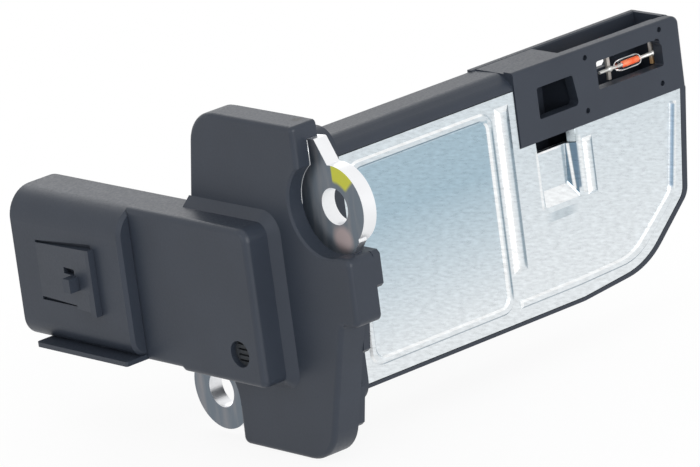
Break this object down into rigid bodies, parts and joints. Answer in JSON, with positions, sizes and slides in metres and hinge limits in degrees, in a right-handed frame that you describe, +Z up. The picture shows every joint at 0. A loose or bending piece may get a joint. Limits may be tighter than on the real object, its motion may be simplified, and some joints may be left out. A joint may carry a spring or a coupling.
{
  "type": "mass airflow sensor",
  "caption": "Plug-in mass airflow sensor: flange with two screw ears, side connector, and a flat probe with a stamped metal plate, an air bypass and a glass bead air temperature sensor.",
  "frame": {"origin": "centre of the bolt circle through the two screw ears, on the ears' seat face", "axes": "+X along the probe towards its tip, +Y towards the connector, +Z up against the air flow"},
  "size_m": [0.0879, 0.0649, 0.048],
  "materials": {
    "housing_plastic": "glass filled PBT, fine moulded grain",
    "cover_plastic": "glass filled PBT, fine moulded grain",
    "ear_steel": "punched steel, bright cut edges",
    "plate_metal": "rolled sheet, fine grain along its length",
    "seal_rubber": "smooth moulded rubber",
    "sealant": "cured silicone",
    "board_ceramic": "white alumina",
    "chip_epoxy": "moulded epoxy",
    "capacitor_body": "sintered ceramic, tan",
    "ribbon_metal": "bare ribbon",
    "soft_gel": "clear soft silicone gel",
    "film_silicon": "polished silicon",
    "bead_glass": "clear sealed glass",
    "element_orange": "orange red coated element",
    "lead_wire": "tinned wire",
    "strip_metal": "tinned punched strip",
    "vent_plastic": "porous moulded plug",
    "terminal_metal": "tin plated brass strip"
  },
  "bodies": {
    "root": {"main_housing": "housing_plastic", "mounting_plate": "ear_steel", "base_plate": "plate_metal", "bypass_cover": "cover_plastic", "electronics_cover": "cover_plastic", "seal_ring": "seal_rubber", "front_sealant": "sealant", "rear_sealant": "sealant", "circuit_board": "board_ceramic", "board_glue": "sealant", "signal_chip": "chip_epoxy", "chip_capacitors": "capacitor_body", "chip_resistors": "chip_epoxy", "bond_ribbons": "ribbon_metal", "film_ribbons": "ribbon_metal", "gel_fill": "soft_gel", "sensor_finger": "board_ceramic", "hot_film_chip": "film_silicon", "temperature_glass": "bead_glass", "temperature_element": "element_orange", "temperature_lead_near": "lead_wire", "temperature_lead_far": "lead_wire", "temperature_conductor_near": "strip_metal", "temperature_conductor_far": "strip_metal", "vent_plug": "vent_plastic", "terminal_1": "terminal_metal", "terminal_2": "terminal_metal", "terminal_3": "terminal_metal", "terminal_4": "terminal_metal", "terminal_5": "terminal_metal"}
  },
  "joints": []
}
